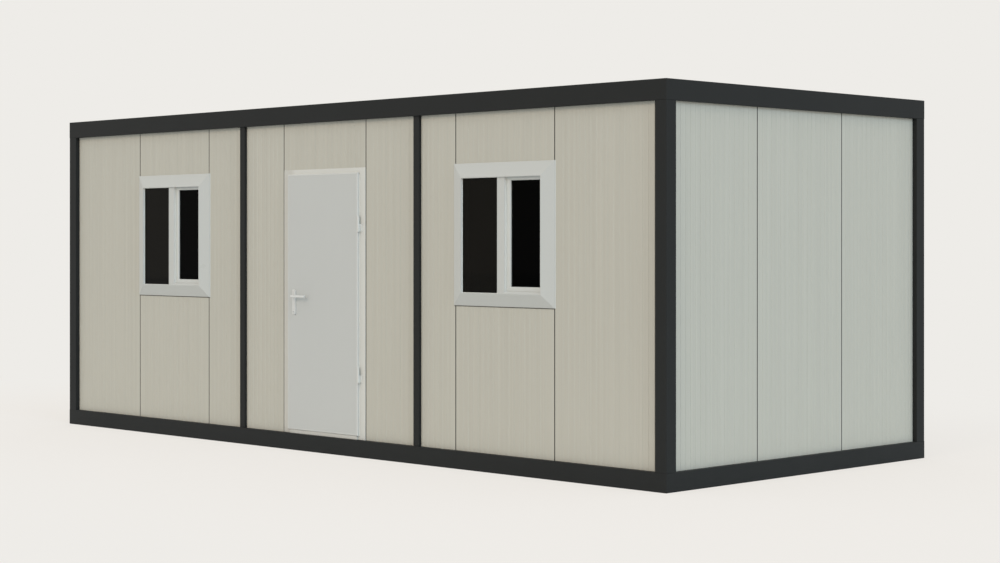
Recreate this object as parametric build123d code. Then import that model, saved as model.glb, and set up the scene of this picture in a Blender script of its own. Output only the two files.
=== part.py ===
from build123d import *
import math
import os

# Portable site cabin: a folded steel frame with sandwich wall panels, two sliding windows and one door.
# X runs along the cabin, the door and windows face -Y, Z is up, and the origin is the middle of the
# footprint at ground level.  All sizes are in millimetres.

# Overall envelope
cabin_length = 7000.0
cabin_width = 3000.0
cabin_height = 2700.0

# Folded steel frame
rail_depth = 100.0
base_rail_height = 130.0
top_rail_height = 140.0
frame_steel = 4.0
base_rail_lip = 20.0
gutter_floor_height = 60.0
gutter_lip_width = 30.0
gutter_lip_drop = 15.0
corner_post_width = 100.0
corner_post_seat = 24.0
mid_post_width = 62.0
mid_post_setback = 15.0
mid_post_steel = 3.0
mid_post_places = (-1000.0, 1080.0)

# Sandwich wall panels
panel_setback = 40.0
panel_thickness = 50.0
panel_width = 985.0
panels_each_side = 3
panel_end_inset = 52.5
panel_joint_gap = 1.0
seam_width = 6.0
seam_depth = 12.0
tongue_length = 10.0
tongue_thickness = 14.0
tongue_clearance = 1.0

# Floor, ceiling and roof
joist_pitch = 600.0
joist_flange = 50.0
joist_steel = 3.0
joist_lip = 15.0
floor_thickness = 18.0
board_clearance = 1.0
ceiling_thickness = 15.0
roof_joist_height = 55.0
roof_rise = 25.0
roof_overlap = 40.0
roof_rib_pitch = 200.0
roof_rib_height = 20.0
roof_rib_crown = 30.0
roof_rib_foot = 60.0
roof_sheet_thickness = 1.0
roof_seat_clearance = 0.2

# Sliding windows
window_panel_shift = 4.0
window_centre_height = 1680.5
trim_side_width = 108.0
trim_head_width = 106.0
trim_foot_width = 94.0
trim_edge = 7.0
trim_edge_radius = 4.0
trim_lip_flat = 4.0
window_opening_width = 790.0
window_opening_height = 821.0
window_wall_clearance = 1.5
window_frame_wall = 8.0
side_track_depth = 36.0
top_track_depth = 38.0
sill_track_depth = 10.0
sash_track_setback = 28.0
sash_track_width = 40.0
mullion_width = 78.0
mullion_setback = 10.0
mullion_chamfer = 3.0
sill_bead_height = 14.0
sill_bead_setback = 8.0
sash_profile = 58.0
sash_depth = 36.0
sash_lap = 20.0
sash_top_clearance = 5.0
sash_bead = 6.0
glass_thickness = 6.0
glass_setback = 17.0
glass_bite = 10.0
glass_clearance = 0.3
inner_trim_width = 75.0
inner_trim_thickness = 8.0
inner_trim_margin = 5.0

# Door frame and leaf
door_frame_gap = 4.0
door_frame_height = 2068.0
door_frame_proud = 3.5
door_jamb_width = 83.5
door_head_height = 52.0
door_sill_height = 22.0
door_sill_proud = 10.0
door_stop_width = 15.0
door_edge_radius = 3.0
leaf_lip_overlap = 15.0
leaf_lip_thickness = 15.0
leaf_body_thickness = 40.0
leaf_running_gap = 5.0
leaf_hinge_gap = 7.0
leaf_lock_gap = 9.0
leaf_head_gap = 7.0
leaf_sill_gap = 7.0
leaf_edge_chamfer = 4.0

# Door hinges
hinge_heights = (620.0, 1770.0)
hinge_length = 120.0
knuckle_radius = 8.0
knuckle_leaf_gap = 1.5
hinge_wing_thickness = 3.0
hinge_foot_width = 22.0
hinge_pin_radius = 5.0
hinge_pin_clearance = 0.3
hinge_seat_gap = 0.3
hinge_pin_end_gap = 4.0

# Door lever handles
lever_height = 1206.0
lever_backset = 86.0
lever_length = 172.0
lever_reach = 43.0
lever_bar_height = 18.0
lever_bar_thickness = 14.0
lever_bar_chamfer = 3.5
lever_bend_radius = 16.0
lever_shoulder_gap = 1.0
lever_neck_radius = 9.0
lever_tip_chamfer = 2.0
spindle_width = 8.0
spindle_hole_radius = 11.0
spindle_socket_depth = 20.0
spindle_socket_clearance = 0.15
spindle_end_gap = 8.0
lock_plate_width = 40.0
lock_plate_height = 196.0
lock_plate_below = 142.0
lock_plate_thickness = 8.0
lock_plate_radius = 10.0
lock_plate_hole_clearance = 0.5

# Levels and planes shared by several pieces
half_length = cabin_length / 2
half_width = cabin_width / 2
wall_foot = base_rail_height
wall_head = cabin_height - top_rail_height
wall_height = wall_head - wall_foot
wall_inner_setback = panel_setback + panel_thickness
wall_end = half_length - panel_end_inset
window_offset = (panels_each_side - 1) * panel_width - window_panel_shift
frame_inner_y = half_width - rail_depth
frame_inner_x = half_length - rail_depth
ceiling_top = wall_head + ceiling_thickness

# Window sizes measured from the window's own centre; depths run inward from the frame's outer face
opening_half_width = window_opening_width / 2
opening_half_height = window_opening_height / 2
body_half_width = opening_half_width + side_track_depth + window_frame_wall
body_half_height = opening_half_height + top_track_depth + window_frame_wall
trim_half_width = opening_half_width + trim_side_width
trim_height = window_opening_height + trim_head_width + trim_foot_width
trim_lift = (trim_head_width - trim_foot_width) / 2
hole_half_width = body_half_width + window_wall_clearance
hole_half_height = body_half_height + window_wall_clearance
track_half_width = opening_half_width + side_track_depth
track_top = opening_half_height + top_track_depth
track_bottom = -opening_half_height - sill_track_depth
sash_left = mullion_width / 2 - sash_lap
sash_right = track_half_width - glass_clearance
sash_bottom = track_bottom + glass_clearance
sash_top = track_top - sash_top_clearance
sash_front = sash_track_setback + (sash_track_width - sash_depth) / 2
sash_glass_setback = sash_front + (sash_depth - glass_thickness) / 2

# Door sizes; depths run inward from the frame's outer face
door_frame_half = panel_width / 2 - door_frame_gap
door_frame_front = panel_setback - door_frame_proud
door_frame_back = wall_inner_setback + door_frame_proud
door_frame_top = wall_foot + door_frame_height
reveal_half = door_frame_half - door_jamb_width
reveal_top = door_frame_top - door_head_height
sill_top = wall_foot + door_sill_height
leaf_lip_back = door_frame_front - leaf_running_gap
leaf_lip_front = leaf_lip_back - leaf_lip_thickness
leaf_back = leaf_lip_back + leaf_body_thickness
door_stop_front = leaf_back + leaf_running_gap
leaf_lip_half = reveal_half + leaf_lip_overlap
leaf_foot = sill_top + leaf_sill_gap
leaf_lip_top = reveal_top + leaf_lip_overlap
hinge_x = leaf_lip_half + knuckle_leaf_gap + knuckle_radius
hinge_y = leaf_lip_front - half_width
lever_x = lever_backset - leaf_lip_half


def block(x_range, y_range, z_range):
    """Rectangular block between two limits on each axis."""
    spans = (x_range, y_range, z_range)
    sizes = [high - low for low, high in spans]
    middle = [(high + low) / 2 for low, high in spans]
    return Pos(*middle) * Box(*sizes)


def rectangle(u_range, v_range):
    """Flat rectangle between two limits on each axis of a profile."""
    width = u_range[1] - u_range[0]
    height = v_range[1] - v_range[0]
    return Pos((u_range[0] + u_range[1]) / 2, (v_range[0] + v_range[1]) / 2) * Rectangle(width, height)


def corners_at(profile, points):
    """Vertices of a flat profile that lie on the given points."""
    found = []
    for vertex in profile.vertices():
        if any(math.hypot(vertex.X - u, vertex.Y - v) < 0.01 for u, v in points):
            found.append(vertex)
    return found


# ---------------------------------------------------------------- steel frame


def base_rail_profile():
    """Lipped channel, open towards the floor: u runs inward from the outer face, v upward."""
    depth, height, steel = rail_depth, base_rail_height, frame_steel
    profile = rectangle((0, depth), (0, height))
    profile -= rectangle((steel, depth - steel), (steel, height - steel))
    profile -= rectangle((depth - steel, depth), (base_rail_lip, height - base_rail_lip))
    return fillet(corners_at(profile, [(0, 0), (0, height), (depth, 0), (depth, height)]), steel)


def top_rail_profile():
    """Box section that carries a rain gutter behind its tall outer face."""
    depth, height, steel = rail_depth, top_rail_height, frame_steel
    lip = gutter_lip_width
    profile = rectangle((0, depth), (0, gutter_floor_height))
    profile -= rectangle((steel, depth - steel), (steel, gutter_floor_height - steel))
    profile += rectangle((0, steel), (0, height))
    profile += rectangle((0, lip), (height - steel, height))
    profile += rectangle((lip - steel, lip), (height - gutter_lip_drop, height))
    outer = [(0, 0), (0, height), (lip, height), (depth, 0), (depth, gutter_floor_height)]
    return fillet(corners_at(profile, outer), steel)


def mitred_rail(profile, run, offset, foot, turn):
    """Rail along one side of the frame, mitred at both ends and turned into place."""
    start = Plane(origin=(-run / 2, -offset, foot), x_dir=(0, 1, 0), z_dir=(1, 0, 0))
    rail = extrude(start * profile, run)
    mitre = Polyline(
        (-run / 2, -offset),
        (run / 2, -offset),
        (run / 2 - rail_depth, rail_depth - offset),
        (rail_depth - run / 2, rail_depth - offset),
        close=True,
    )
    rail &= extrude(make_face(mitre), cabin_height)
    return Rot(0, 0, turn) * rail


def frame_rails():
    """Four base rails and four top rails, named by the side they run along."""
    sides = {
        "front": (cabin_length, half_width, 0),
        "right": (cabin_width, half_length, 90),
        "back": (cabin_length, half_width, 180),
        "left": (cabin_width, half_length, 270),
    }
    rails = {}
    for side, (run, offset, turn) in sides.items():
        rails[f"base_rail_{side}"] = mitred_rail(base_rail_profile(), run, offset, 0, turn)
        rails[f"top_rail_{side}"] = mitred_rail(top_rail_profile(), run, offset, wall_head, turn)
    return rails


def corner_post():
    """Folded post for the right-hand front corner, with returns that the panels seat behind."""
    width, steel, seat = corner_post_width, frame_steel, corner_post_seat
    profile = rectangle((0, width), (0, steel)) + rectangle((0, steel), (0, width))
    profile += rectangle((width - steel, width), (0, panel_setback))
    profile += rectangle((0, panel_setback), (width - steel, width))
    profile += rectangle((width - seat, width), (panel_setback - steel, panel_setback))
    profile += rectangle((panel_setback - steel, panel_setback), (width - seat, width))
    profile = fillet(corners_at(profile, [(0, 0), (width, 0), (0, width)]), steel)
    corner = Plane(origin=(half_length, -half_width, wall_foot), x_dir=(-1, 0, 0), z_dir=(0, 0, -1))
    return extrude(corner * profile, -wall_height)


def corner_posts():
    """The four corner posts, mirrored from one."""
    front_right = corner_post()
    front_left = mirror(front_right, Plane.YZ)
    return {
        "corner_post_front_right": front_right,
        "corner_post_front_left": front_left,
        "corner_post_back_right": mirror(front_right, Plane.XZ),
        "corner_post_back_left": mirror(front_left, Plane.XZ),
    }


def mid_posts():
    """Rectangular tubes that stand in front of the long walls."""
    depth = panel_setback - mid_post_setback
    steel = mid_post_steel
    profile = RectangleRounded(mid_post_width, depth, steel)
    profile -= Rectangle(mid_post_width - 2 * steel, depth - 2 * steel)
    tube = extrude(profile, wall_height)
    middle_y = half_width - mid_post_setback - depth / 2
    front = [Pos(x, -middle_y, wall_foot) * tube for x in mid_post_places]
    back = [Pos(x, middle_y, wall_foot) * tube for x in mid_post_places]
    return {"mid_posts_front": Compound(front), "mid_posts_back": Compound(back)}


# ---------------------------------------------------------------- floor, ceiling and roof


def joist_places():
    """Evenly spaced joists, one in the middle and equal numbers each side of it."""
    each_side = int((frame_inner_x - joist_flange / 2) // joist_pitch)
    return [joist_pitch * step for step in range(-each_side, each_side + 1)]


def floor_joists():
    """Lipped channels between the base rails."""
    steel = joist_steel
    height = base_rail_height
    profile = rectangle((-joist_flange / 2, joist_flange / 2), (0, height))
    inside = joist_flange / 2 - steel
    profile -= rectangle((-inside, inside), (steel, height - steel))
    profile -= rectangle((inside, joist_flange / 2), (joist_lip, height - joist_lip))
    start = Plane(origin=(0, frame_inner_y, 0), x_dir=(1, 0, 0), z_dir=(0, -1, 0))
    joist = extrude(start * profile, 2 * frame_inner_y)
    return Compound([Pos(x, 0, 0) * joist for x in joist_places()])


def floor_board():
    """Floor sheet between the walls, on the rails and joists, notched round the door frame."""
    reach_x = half_length - wall_inner_setback - board_clearance
    reach_y = half_width - wall_inner_setback - board_clearance
    levels = (wall_foot, wall_foot + floor_thickness)
    board = block((-reach_x, reach_x), (-reach_y, reach_y), levels)
    notch = door_frame_half + board_clearance
    notch_back = door_frame_back + board_clearance - half_width
    return board - block((-notch, notch), (-half_width, notch_back), levels)


def ceiling_board():
    """Ceiling sheet between the top rails, under the roof joists."""
    reach_x = frame_inner_x - board_clearance
    reach_y = frame_inner_y - board_clearance
    return block((-reach_x, reach_x), (-reach_y, reach_y), (wall_head, ceiling_top))


def roof_joists():
    """Channels with a ridged top that give the roof its fall towards both gutters."""
    steel = joist_steel
    eaves = roof_joist_height

    def gable(inset):
        low, high = inset, eaves - inset
        reach = frame_inner_y - inset
        points = [(-reach, low), (reach, low), (reach, high), (0, high + roof_rise), (-reach, high)]
        return make_face(Polyline(*points, close=True))

    side = Plane(origin=(-joist_flange / 2, 0, ceiling_top), x_dir=(0, 1, 0), z_dir=(1, 0, 0))
    joist = extrude(side * gable(0), joist_flange)
    joist -= Pos(steel, 0, 0) * extrude(side * gable(steel), joist_flange)
    return Compound([Pos(x, 0, 0) * joist for x in joist_places()])


def roof_sheet_line():
    """Trapezoidal rib line across the whole roof: flat, up, crown, down, flat."""
    reach = half_length - rail_depth + roof_overlap
    ribs_each_side = int((reach - roof_rib_foot / 2) / roof_rib_pitch + 0.5)
    points = [(-reach, 0.0)]
    for step in range(-ribs_each_side, ribs_each_side):
        middle = (step + 0.5) * roof_rib_pitch
        points.append((middle - roof_rib_foot / 2, 0.0))
        points.append((middle - roof_rib_crown / 2, roof_rib_height))
        points.append((middle + roof_rib_crown / 2, roof_rib_height))
        points.append((middle + roof_rib_foot / 2, 0.0))
    points.append((reach, 0.0))
    return points


def roof_sheet():
    """Profiled sheet in one piece, ridged in the middle and hanging over both gutters."""
    lower = roof_sheet_line()
    upper = [(u, v + roof_sheet_thickness) for u, v in reversed(lower)]
    profile = make_face(Polyline(*lower, *upper, close=True))
    eaves_y = frame_inner_y + roof_overlap
    slope = math.atan2(roof_rise, frame_inner_y)
    ridge_z = ceiling_top + roof_joist_height + roof_rise + roof_seat_clearance
    downhill = (0, -math.cos(slope), -math.sin(slope))
    ridge = Plane(origin=(0, 0, ridge_z), x_dir=(1, 0, 0), z_dir=downhill)
    half = extrude(ridge * profile, 2 * eaves_y, both=True)
    half &= block((-half_length, half_length), (-eaves_y, 0), (0, 2 * cabin_height))
    return half + mirror(half, Plane.XZ)


# ---------------------------------------------------------------- wall panels


def panel_profile(width, groove, tongue):
    """Plan of one panel: outer face on v = 0, seam rebates at both edges, and a tongue and groove."""
    low = panel_joint_gap / 2
    high = width - panel_joint_gap / 2
    rebate = (seam_width - panel_joint_gap) / 2
    middle = panel_thickness / 2
    profile = rectangle((low, high), (0, panel_thickness))
    profile -= rectangle((low, low + rebate), (0, seam_depth))
    profile -= rectangle((high - rebate, high), (0, seam_depth))
    if groove:
        half = tongue_thickness / 2 + tongue_clearance
        profile -= rectangle((low, low + tongue_length), (middle - half, middle + half))
    if tongue:
        half = tongue_thickness / 2
        reach = high + tongue_length - tongue_clearance
        profile += rectangle((high, reach), (middle - half, middle + half))
    return profile


def long_wall_seams():
    """Edges of the long walls' panels: a regular module, with end panels cut to the corner posts."""
    steps = range(-panels_each_side, panels_each_side)
    return [-wall_end, *[(step + 0.5) * panel_width for step in steps], wall_end]


def front_panel(index, foot=wall_foot, tongue=True):
    """Front wall panel by its place from the left, outer face on the panel line."""
    seams = long_wall_seams()
    left, right = seams[index], seams[index + 1]
    last = index == 2 * panels_each_side
    profile = panel_profile(right - left, index > 0, tongue and not last)
    place = Plane(origin=(left, panel_setback - half_width, foot), x_dir=(1, 0, 0), z_dir=(0, 0, 1))
    return extrude(place * profile, wall_head - foot)


def window_hole(side):
    """Cut-out for the window's body through a wall panel."""
    x = side * window_offset
    return block(
        (x - hole_half_width, x + hole_half_width),
        (-half_width, -frame_inner_y),
        (window_centre_height - hole_half_height, window_centre_height + hole_half_height),
    )


def front_wall():
    """Seven panels: plain ones, one over the door in the middle, and one round each window."""
    middle = panels_each_side
    panels = {}
    for index in range(2 * panels_each_side + 1):
        if index == middle:
            panels["over_door_panel"] = front_panel(index, foot=door_frame_top)
            continue
        panel = front_panel(index, tongue=index != middle - 1)
        name = f"front_panel_{index + 1}"
        if index in (1, 2 * panels_each_side - 1):
            side = -1 if index == 1 else 1
            panel -= window_hole(side)
            name = "window_panel_left" if side < 0 else "window_panel_right"
        panels[name] = panel
    return panels


def back_panels():
    """Plain panels along the back wall, separate solids in one row."""
    panels = [front_panel(index) for index in range(2 * panels_each_side + 1)]
    return Compound([Rot(0, 0, 180) * panel for panel in panels])


def end_panels(side):
    """Panels of one end wall, between the front and back walls' inner faces."""
    reach = half_width - wall_inner_setback
    edges = [-reach, -panel_width / 2, panel_width / 2, reach]
    panels = []
    for index in range(len(edges) - 1):
        width = edges[index + 1] - edges[index]
        profile = panel_profile(width, index > 0, index < len(edges) - 2)
        start = Plane(
            origin=(half_length - panel_setback, edges[index], wall_foot), x_dir=(0, 1, 0), z_dir=(0, 0, 1)
        )
        panels.append(extrude(start * profile, wall_height))
    turn = 0 if side > 0 else 180
    return Compound([Rot(0, 0, turn) * panel for panel in panels])


# ---------------------------------------------------------------- windows


def facing(depth):
    """Plane parallel to the front wall at a depth behind the frame's outer face, seen from outside."""
    return Plane(origin=(0, depth, 0), x_dir=(1, 0, 0), z_dir=(0, -1, 0))


def ring(outer, inner, depth_range):
    """Rectangular ring from half sizes (width, height), between two depths."""
    depth = depth_range[1] - depth_range[0]
    face = Rectangle(2 * outer[0], 2 * outer[1]) - Rectangle(2 * inner[0], 2 * inner[1])
    return extrude(facing(depth_range[1]) * face, depth)


def splayed_trim():
    """Mitred outer trim that rises from a thin edge on the panels to a lip round the opening."""
    edge_front = panel_setback - trim_edge
    rim = Pos(0, trim_lift) * Rectangle(2 * trim_half_width, trim_height)
    edge = extrude(facing(panel_setback) * rim, trim_edge)
    lip = Rectangle(window_opening_width + 2 * trim_lip_flat, window_opening_height + 2 * trim_lip_flat)
    trim = edge + loft([facing(edge_front) * rim, facing(0) * lip])
    on_edge = [e for e in trim.edges() if abs(e.center().Y - edge_front) < 0.01]
    return fillet(on_edge, trim_edge_radius)


def window_frame():
    """One-piece frame: splayed trim, body through the wall, sash track, mullion and sill bead."""
    lip_w, lip_h = opening_half_width, opening_half_height
    frame = splayed_trim()
    body_front = panel_setback - trim_edge
    body = Rectangle(2 * body_half_width, 2 * body_half_height)
    frame += extrude(facing(wall_inner_setback) * body, wall_inner_setback - body_front)
    frame -= block((-lip_w, lip_w), (-1, wall_inner_setback + 1), (-lip_h, lip_h))
    track = (sash_track_setback, sash_track_setback + sash_track_width)
    frame -= block((-track_half_width, track_half_width), track, (track_bottom, track_top))
    mullion_back = sash_track_setback - (sash_front - sash_track_setback)
    mullion = block((-mullion_width / 2, mullion_width / 2), (mullion_setback, mullion_back), (-lip_h, lip_h))
    front_edges = mullion.edges().filter_by(Axis.Z).sort_by(Axis.Y)[:2]
    frame += chamfer(front_edges, mullion_chamfer)
    frame += sill_bead()
    return frame - glass_block(fixed_glass_span(), glass_setback, glass_clearance)


def sill_bead():
    """Bevelled strip at the foot of the mullion and the sash."""
    back = mullion_setback + sill_bead_height
    foot = -opening_half_height
    points = [(sill_bead_setback, foot), (back, foot), (back, foot + sill_bead_height)]
    points.append((sill_bead_setback + sill_bead_height / 2, foot + sill_bead_height))
    start = Plane(origin=(-mullion_width / 2, 0, 0), x_dir=(0, 1, 0), z_dir=(1, 0, 0))
    section = make_face(Polyline(*points, close=True))
    return extrude(start * section, mullion_width / 2 + opening_half_width)


def fixed_glass_span():
    """Sides of the fixed glass, let into the frame and the mullion."""
    bite = glass_bite
    across = (-opening_half_width - bite, -mullion_width / 2 + bite)
    up = (-opening_half_height - bite, opening_half_height + bite)
    return across, up


def sash_glass_span():
    """Sides of the sash's glass, let into its stiles and rails."""
    let_in = sash_profile - glass_bite
    return (sash_left + let_in, sash_right - let_in), (sash_bottom + let_in, sash_top - let_in)


def glass_block(span, setback, clearance=0.0):
    """Sheet of glass, or with a clearance the groove that takes it."""
    (left, right), (low, high) = span
    back = setback + glass_thickness
    return block(
        (left - clearance, right + clearance),
        (setback - clearance, back + clearance),
        (low - clearance, high + clearance),
    )


def sliding_sash():
    """Sash that runs in the inner track, with a bevelled glazing bead round its glass."""
    sash = block((sash_left, sash_right), (sash_front, sash_front + sash_depth), (sash_bottom, sash_top))
    left, right = sash_left + sash_profile, sash_right - sash_profile
    low, high = sash_bottom + sash_profile, sash_top - sash_profile
    sash -= block((left, right), (sash_front - 1, sash_front + sash_depth + 1), (low, high))
    on_front = [e for e in sash.edges() if abs(e.center().Y - sash_front) < 0.01]
    rim = [e for e in on_front if left - 1 < e.center().X < right + 1 and low - 1 < e.center().Z < high + 1]
    sash = chamfer(rim, sash_bead)
    return sash - glass_block(sash_glass_span(), sash_glass_setback, glass_clearance)


def inner_trim():
    """Flat trim on the room side that covers the joint between frame and panel."""
    opening = (opening_half_width + inner_trim_margin, opening_half_height + inner_trim_margin)
    outer = (opening[0] + inner_trim_width, opening[1] + inner_trim_width)
    return ring(outer, opening, (wall_inner_setback, wall_inner_setback + inner_trim_thickness))


def windows():
    """Both windows, alike, in the second and the last but one panel."""
    parts = {
        "window_frame": window_frame(),
        "window_sash": sliding_sash(),
        "window_fixed_glass": glass_block(fixed_glass_span(), glass_setback),
        "window_sash_glass": glass_block(sash_glass_span(), sash_glass_setback),
    }
    placed = {}
    trims = []
    for side, word in ((-1, "left"), (1, "right")):
        place = Pos(side * window_offset, -half_width, window_centre_height)
        for name, shape in parts.items():
            placed[f"{name}_{word}"] = place * shape
        trims.append(place * inner_trim())
    placed["window_inner_trims"] = Compound(trims)
    return placed


# ---------------------------------------------------------------- door


def door_block(x_range, depth_range, z_range):
    """Block whose depths run inward from the frame's outer face."""
    front, back = depth_range
    return block(x_range, (front - half_width, back - half_width), z_range)


def door_frame():
    """Jambs, head and sill in one frame, with a stop behind the leaf."""
    half, front, back = door_frame_half, door_frame_front, door_frame_back
    frame = door_block((-half, half), (front, back), (wall_foot, door_frame_top))
    front_plane = front - half_width
    rim = [e for e in frame.edges() if abs(e.center().Y - front_plane) < 0.01 and e.center().Z > wall_foot + 1]
    frame = fillet(rim, door_edge_radius)
    frame -= door_block((-reveal_half, reveal_half), (front - 1, door_stop_front), (sill_top, reveal_top))
    stop_half = reveal_half - door_stop_width
    stop_top = reveal_top - door_stop_width
    frame -= door_block((-stop_half, stop_half), (front, back + 1), (sill_top, stop_top))
    sill_front = front - door_sill_proud
    return frame + door_block((-reveal_half, reveal_half), (sill_front, front), (wall_foot, sill_top))


def spindle_axis(radius, depth_range):
    """Round bar or hole on the lever's axis, between two depths."""
    depth = depth_range[1] - depth_range[0]
    start = Plane(
        origin=(lever_x, depth_range[1] - half_width, lever_height), x_dir=(1, 0, 0), z_dir=(0, -1, 0)
    )
    return extrude(start * Circle(radius), depth)


def door_leaf():
    """Leaf with a lip that laps the frame and a thicker body inside the reveal."""
    half = leaf_lip_half
    lip = door_block((-half, half), (leaf_lip_front, leaf_lip_back), (leaf_foot, leaf_lip_top))
    front_plane = leaf_lip_front - half_width
    rim = [e for e in lip.edges() if abs(e.center().Y - front_plane) < 0.01]
    lip = chamfer(rim, leaf_edge_chamfer)
    body_sides = (leaf_lock_gap - reveal_half, reveal_half - leaf_hinge_gap)
    body_heights = (leaf_foot, reveal_top - leaf_head_gap)
    leaf = lip + door_block(body_sides, (leaf_lip_back, leaf_back), body_heights)
    return leaf - spindle_axis(spindle_hole_radius, (leaf_lip_front - 1, leaf_back + 1))


def lock_plates():
    """Long back plates on both faces of the leaf, separate solids round the lever necks."""
    low = lever_height - lock_plate_below
    middle = low + lock_plate_height / 2
    outline = RectangleRounded(lock_plate_width, lock_plate_height, lock_plate_radius)
    hole = lever_neck_radius + lock_plate_hole_clearance
    plates = []
    for back in (leaf_lip_front, leaf_back + lock_plate_thickness):
        face = Plane(origin=(lever_x, back - half_width, middle), x_dir=(1, 0, 0), z_dir=(0, -1, 0))
        plate = extrude(face * outline, lock_plate_thickness)
        plates.append(plate - spindle_axis(hole, (back - 2 * lock_plate_thickness, back + 1)))
    return Compound(plates)


def lever_arm():
    """Outer lever: a neck out of the plate that bends into a flat bar towards the hinges."""
    shoulder = leaf_lip_front - lock_plate_thickness - lever_shoulder_gap - half_width
    bar_y = leaf_lip_front - lever_reach - half_width
    tip_x = lever_x + lever_length
    corners = [(lever_x, shoulder), (lever_x, bar_y), (tip_x, bar_y)]
    route = FilletPolyline(*corners, radius=lever_bend_radius)
    path = Pos(0, 0, lever_height) * route
    start = Plane(origin=(lever_x, shoulder, lever_height), x_dir=(1, 0, 0), z_dir=(0, -1, 0))
    bar = Rectangle(lever_bar_thickness, lever_bar_height)
    section = chamfer(bar.vertices(), lever_bar_chamfer)
    arm = sweep(start * section, path=path)
    tip = arm.faces().sort_by(Axis.X)[-1]
    return chamfer(tip.edges(), lever_tip_chamfer)


def lever_handles():
    """Lever on each side of the leaf; the outer one carries the square spindle of both."""
    root = leaf_lip_front - lock_plate_thickness / 2
    neck_front = leaf_lip_front - lever_reach + lever_bend_radius
    outer = lever_arm() + spindle_axis(lever_neck_radius, (neck_front, root))
    middle_y = (leaf_lip_front + leaf_back) / 2 - half_width
    inner = mirror(outer, Plane(origin=(0, middle_y, 0), z_dir=(0, 1, 0)))
    inner_root = leaf_back + lock_plate_thickness / 2
    half = spindle_width / 2
    socket_half = half + spindle_socket_clearance
    socket_end = inner_root + spindle_socket_depth
    inner -= square_bar(socket_half, (inner_root - 1, socket_end))
    outer += square_bar(half, (root - 1, socket_end - spindle_end_gap))
    return Compound([outer, inner])


def square_bar(half, depth_range):
    """Square bar on the lever's axis."""
    across = (lever_x - half, lever_x + half)
    return door_block(across, depth_range, (lever_height - half, lever_height + half))


def knuckle(radius, low, high):
    """Upright cylinder on the hinge axis."""
    return Pos(hinge_x, hinge_y, (low + high) / 2) * Cylinder(radius, high - low)


def hinge_halves():
    """Lift-off hinges: the frame's lower knuckle carries a pin, and the leaf's upper one turns on it."""
    wing = hinge_wing_thickness
    inner_x = hinge_x + knuckle_radius
    frame_halves = []
    leaf_halves = []
    for middle in hinge_heights:
        low, high = middle - hinge_length / 2, middle + hinge_length / 2
        frame_half = knuckle(knuckle_radius, low, middle)
        frame_half += door_block((inner_x - wing, inner_x), (leaf_lip_front, door_frame_front), (low, middle))
        foot_x = (inner_x - wing, inner_x - wing + hinge_foot_width)
        frame_half += door_block(foot_x, (door_frame_front - wing, door_frame_front), (low, middle))
        frame_half += knuckle(hinge_pin_radius, middle - 1, high - hinge_pin_end_gap)
        frame_halves.append(frame_half)
        seat = middle + hinge_seat_gap
        leaf_half = knuckle(knuckle_radius, seat, high)
        edge = (leaf_lip_half, leaf_lip_half + wing)
        leaf_half += door_block(edge, (leaf_lip_front, leaf_lip_back), (seat, high))
        bore = hinge_pin_radius + hinge_pin_clearance
        leaf_half -= knuckle(bore, seat - 1, high - hinge_pin_end_gap + hinge_pin_clearance)
        leaf_halves.append(leaf_half)
    return {"hinge_frame_halves": Compound(frame_halves), "hinge_leaf_halves": Compound(leaf_halves)}


# ---------------------------------------------------------------- whole cabin


def cabin():
    """Every piece by its name."""
    pieces = {}
    pieces.update(frame_rails())
    pieces.update(corner_posts())
    pieces.update(mid_posts())
    pieces["floor_joists"] = floor_joists()
    pieces["floor_board"] = floor_board()
    pieces["ceiling_board"] = ceiling_board()
    pieces["roof_joists"] = roof_joists()
    pieces["roof_sheet"] = roof_sheet()
    pieces.update(front_wall())
    pieces["back_panels"] = back_panels()
    pieces["right_end_panels"] = end_panels(1)
    pieces["left_end_panels"] = end_panels(-1)
    pieces.update(windows())
    pieces["door_frame"] = door_frame()
    pieces["door_leaf"] = door_leaf()
    pieces["door_lock_plates"] = lock_plates()
    pieces["door_levers"] = lever_handles()
    pieces.update(hinge_halves())
    return pieces


os.makedirs("parts", exist_ok=True)
for piece_name, piece_shape in cabin().items():
    export_step(piece_shape, f"parts/{piece_name}.step")
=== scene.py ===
import math

import bmesh
import bpy
from mathutils import Matrix, Vector


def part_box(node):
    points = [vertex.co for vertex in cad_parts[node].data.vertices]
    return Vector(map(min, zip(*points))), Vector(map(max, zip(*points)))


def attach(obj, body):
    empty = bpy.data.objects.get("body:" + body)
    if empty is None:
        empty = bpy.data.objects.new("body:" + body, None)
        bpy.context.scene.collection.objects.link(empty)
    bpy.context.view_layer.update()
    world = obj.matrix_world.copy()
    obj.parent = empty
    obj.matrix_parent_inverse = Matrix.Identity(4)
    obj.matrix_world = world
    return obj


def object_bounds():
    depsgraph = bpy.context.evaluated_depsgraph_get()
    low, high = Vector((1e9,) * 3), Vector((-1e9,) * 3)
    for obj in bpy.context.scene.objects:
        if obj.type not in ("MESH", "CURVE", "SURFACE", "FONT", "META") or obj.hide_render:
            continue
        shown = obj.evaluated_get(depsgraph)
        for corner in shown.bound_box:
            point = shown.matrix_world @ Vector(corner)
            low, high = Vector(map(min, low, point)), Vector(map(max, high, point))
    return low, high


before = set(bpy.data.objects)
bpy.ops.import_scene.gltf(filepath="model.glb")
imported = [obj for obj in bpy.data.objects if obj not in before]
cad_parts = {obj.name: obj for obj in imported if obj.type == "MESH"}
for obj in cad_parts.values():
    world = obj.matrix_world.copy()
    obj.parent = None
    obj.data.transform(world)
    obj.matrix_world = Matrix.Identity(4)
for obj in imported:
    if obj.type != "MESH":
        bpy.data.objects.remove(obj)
CAD_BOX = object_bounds()

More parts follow.
